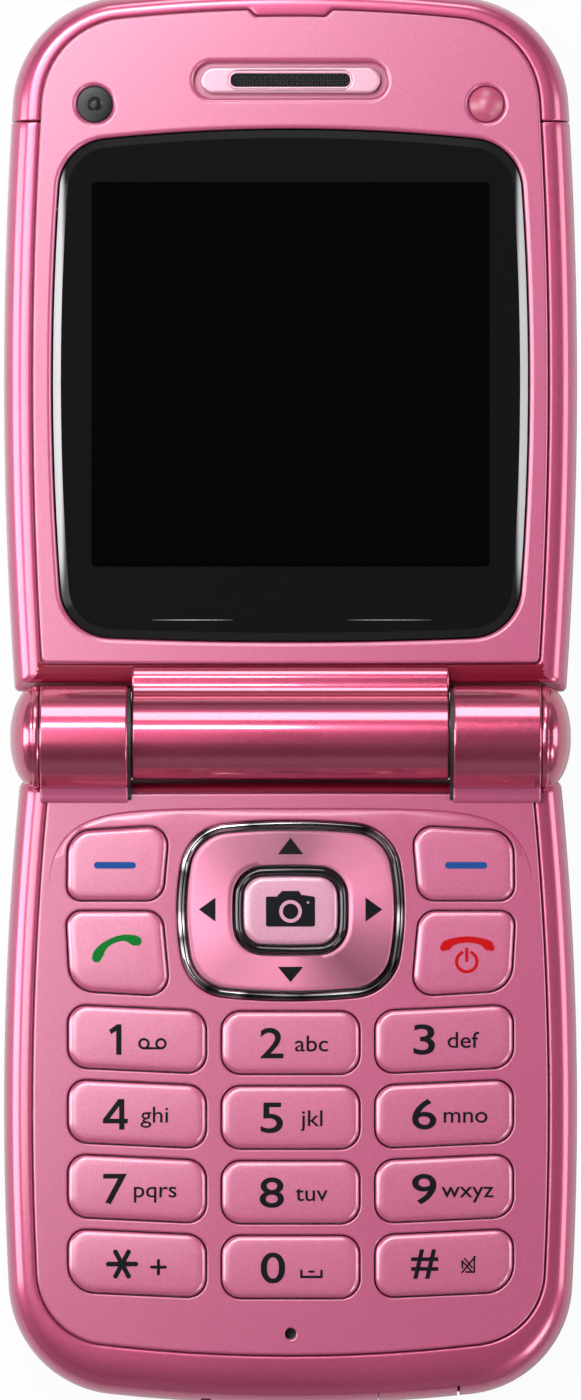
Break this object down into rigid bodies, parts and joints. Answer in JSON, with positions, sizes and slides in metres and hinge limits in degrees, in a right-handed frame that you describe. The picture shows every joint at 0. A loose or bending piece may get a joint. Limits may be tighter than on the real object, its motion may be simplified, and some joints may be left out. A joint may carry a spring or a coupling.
{
  "type": "flip phone",
  "caption": "Folding mobile phone with a display lid on a barrel hinge, a keypad base with rocking navigation ring, and sliding battery cover.",
  "frame": {"origin": "on the table under the middle of the opened phone, which lies on its back", "axes": "+X to the right across the phone, +Y along it towards the lid's top edge, +Z out of the keypad and display"},
  "size_m": [0.052, 0.1284, 0.0151],
  "materials": {
    "pink_shell": "metallic pink lacquer, glossy",
    "pink_panel": "metallic pink lacquer, satin",
    "pink_hinge": "metallic pink lacquer, glossy",
    "pink_keys": "pink lacquered keys with dark printed legends",
    "pink_ring": "anodised pink, radially brushed",
    "chrome_trim": "polished",
    "dark_trim": "polished dark chrome",
    "lens_black": "polished black window",
    "screen": "unlit display",
    "mesh_black": "fine woven mesh",
    "inner_black": "plain",
    "board": "lacquered circuit board",
    "dome_sheet": "frosted film",
    "steel": "plain",
    "contact": "gilded",
    "flex": "amber film",
    "battery_skin": "wrapped cell"
  },
  "bodies": {
    "base": {"knuckle_left": "pink_hinge", "knuckle_right": "pink_hinge", "end_cap_left": "pink_hinge", "end_cap_right": "pink_hinge", "hinge_cam_shaft": "steel", "hinge_tube": "steel", "keypad_panel": "pink_panel", "base_rear_case": "pink_shell", "main_circuit_board": "board", "key_dome_sheet": "dome_sheet", "nav_bezel": "chrome_trim", "centre_key_collar": "dark_trim", "battery": "battery_skin", "loudspeaker": "inner_black", "vibration_motor": "steel", "microphone": "steel", "data_connector": "steel", "base_screws": "steel"},
    "lid": {"lid_rear_shell": "pink_shell", "lid_top_cap": "pink_shell", "lid_front_panel": "pink_panel", "display_lens": "lens_black", "main_display": "screen", "earpiece_bezel": "chrome_trim", "earpiece_mesh": "mesh_black", "earpiece_speaker": "inner_black", "camera_lens": "lens_black", "camera_module": "inner_black", "bumper_pad": "pink_hinge", "lid_circuit_board": "board", "outer_display_lens": "lens_black", "outer_display": "screen", "lid_antenna": "contact", "lid_screws": "steel", "hinge_barrel": "pink_hinge", "hinge_cam_housing": "steel", "hinge_spring": "steel", "flex_cable": "flex"},
    "battery_cover": {"battery_cover": "pink_shell"},
    "port_cover": {"port_cover": "pink_shell"},
    "volume_key": {"volume_key": "pink_shell"},
    "nav_rocker": {"nav_rocker": "steel"},
    "nav_ring": {"nav_ring": "pink_ring"},
    "centre_key": {"centre_key": "pink_keys"},
    "soft_key_left": {"soft_key_left": "pink_keys"},
    "soft_key_right": {"soft_key_right": "pink_keys"},
    "call_key": {"call_key": "pink_keys"},
    "end_key": {"end_key": "pink_keys"},
    "key_1": {"key_1": "pink_keys"},
    "key_2": {"key_2": "pink_keys"},
    "key_3": {"key_3": "pink_keys"},
    "key_4": {"key_4": "pink_keys"},
    "key_5": {"key_5": "pink_keys"},
    "key_6": {"key_6": "pink_keys"},
    "key_7": {"key_7": "pink_keys"},
    "key_8": {"key_8": "pink_keys"},
    "key_9": {"key_9": "pink_keys"},
    "key_star": {"key_star": "pink_keys"},
    "key_0": {"key_0": "pink_keys"},
    "key_hash": {"key_hash": "pink_keys"}
  },
  "joints": [
    {"name": "lid_hinge", "type": "hinge", "parent": "base", "child": "lid", "pos_m": [0, -0.0037, 0.0104], "axis": [1, 0, 0], "range_deg": [0, 180]},
    {"name": "centre_key_press", "type": "slide", "parent": "base", "child": "centre_key", "axis": [0, 0, -1], "range_m": [0, 0.0003], "stiffness_N_per_m": 600},
    {"name": "soft_key_left_press", "type": "slide", "parent": "base", "child": "soft_key_left", "axis": [0, 0, -1], "range_m": [0, 0.0003], "stiffness_N_per_m": 600},
    {"name": "soft_key_right_press", "type": "slide", "parent": "base", "child": "soft_key_right", "axis": [0, 0, -1], "range_m": [0, 0.0003], "stiffness_N_per_m": 600},
    {"name": "call_key_press", "type": "slide", "parent": "base", "child": "call_key", "axis": [0, 0, -1], "range_m": [0, 0.0003], "stiffness_N_per_m": 600},
    {"name": "end_key_press", "type": "slide", "parent": "base", "child": "end_key", "axis": [0, 0, -1], "range_m": [0, 0.0003], "stiffness_N_per_m": 600},
    {"name": "key_1_press", "type": "slide", "parent": "base", "child": "key_1", "axis": [0, 0, -1], "range_m": [0, 0.0003], "stiffness_N_per_m": 600},
    {"name": "key_2_press", "type": "slide", "parent": "base", "child": "key_2", "axis": [0, 0, -1], "range_m": [0, 0.0003], "stiffness_N_per_m": 600},
    {"name": "key_3_press", "type": "slide", "parent": "base", "child": "key_3", "axis": [0, 0, -1], "range_m": [0, 0.0003], "stiffness_N_per_m": 600},
    {"name": "key_4_press", "type": "slide", "parent": "base", "child": "key_4", "axis": [0, 0, -1], "range_m": [0, 0.0003], "stiffness_N_per_m": 600},
    {"name": "key_5_press", "type": "slide", "parent": "base", "child": "key_5", "axis": [0, 0, -1], "range_m": [0, 0.0003], "stiffness_N_per_m": 600},
    {"name": "key_6_press", "type": "slide", "parent": "base", "child": "key_6", "axis": [0, 0, -1], "range_m": [0, 0.0003], "stiffness_N_per_m": 600},
    {"name": "key_7_press", "type": "slide", "parent": "base", "child": "key_7", "axis": [0, 0, -1], "range_m": [0, 0.0003], "stiffness_N_per_m": 600},
    {"name": "key_8_press", "type": "slide", "parent": "base", "child": "key_8", "axis": [0, 0, -1], "range_m": [0, 0.0003], "stiffness_N_per_m": 600},
    {"name": "key_9_press", "type": "slide", "parent": "base", "child": "key_9", "axis": [0, 0, -1], "range_m": [0, 0.0003], "stiffness_N_per_m": 600},
    {"name": "key_star_press", "type": "slide", "parent": "base", "child": "key_star", "axis": [0, 0, -1], "range_m": [0, 0.0003], "stiffness_N_per_m": 600},
    {"name": "key_0_press", "type": "slide", "parent": "base", "child": "key_0", "axis": [0, 0, -1], "range_m": [0, 0.0003], "stiffness_N_per_m": 600},
    {"name": "key_hash_press", "type": "slide", "parent": "base", "child": "key_hash", "axis": [0, 0, -1], "range_m": [0, 0.0003], "stiffness_N_per_m": 600},
    {"name": "nav_up_down", "type": "hinge", "parent": "base", "child": "nav_rocker", "pos_m": [0, -0.01939, 0.0078], "axis": [1, 0, 0], "range_deg": [-1.2, 1.2], "stiffness_Nm_per_rad": 0.6},
    {"name": "nav_left_right", "type": "hinge", "parent": "nav_rocker", "child": "nav_ring", "pos_m": [0, -0.01939, 0.0078], "axis": [0, 1, 0], "range_deg": [-1.2, 1.2], "stiffness_Nm_per_rad": 0.6},
    {"name": "volume_rocker", "type": "hinge", "parent": "base", "child": "volume_key", "pos_m": [-0.0234, -0.0307, 0.0049], "axis": [0, 0, 1], "range_deg": [-1.2, 1.2], "stiffness_Nm_per_rad": 0.5},
    {"name": "port_cover_swing", "type": "hinge", "parent": "base", "child": "port_cover", "pos_m": [0.008, -0.0639, 0.0055], "axis": [0, 0, -1], "range_deg": [0, 95]},
    {"name": "battery_cover_slide", "type": "slide", "parent": "base", "child": "battery_cover", "axis": [0, -1, 0], "range_m": [0, 0.008]}
  ]
}
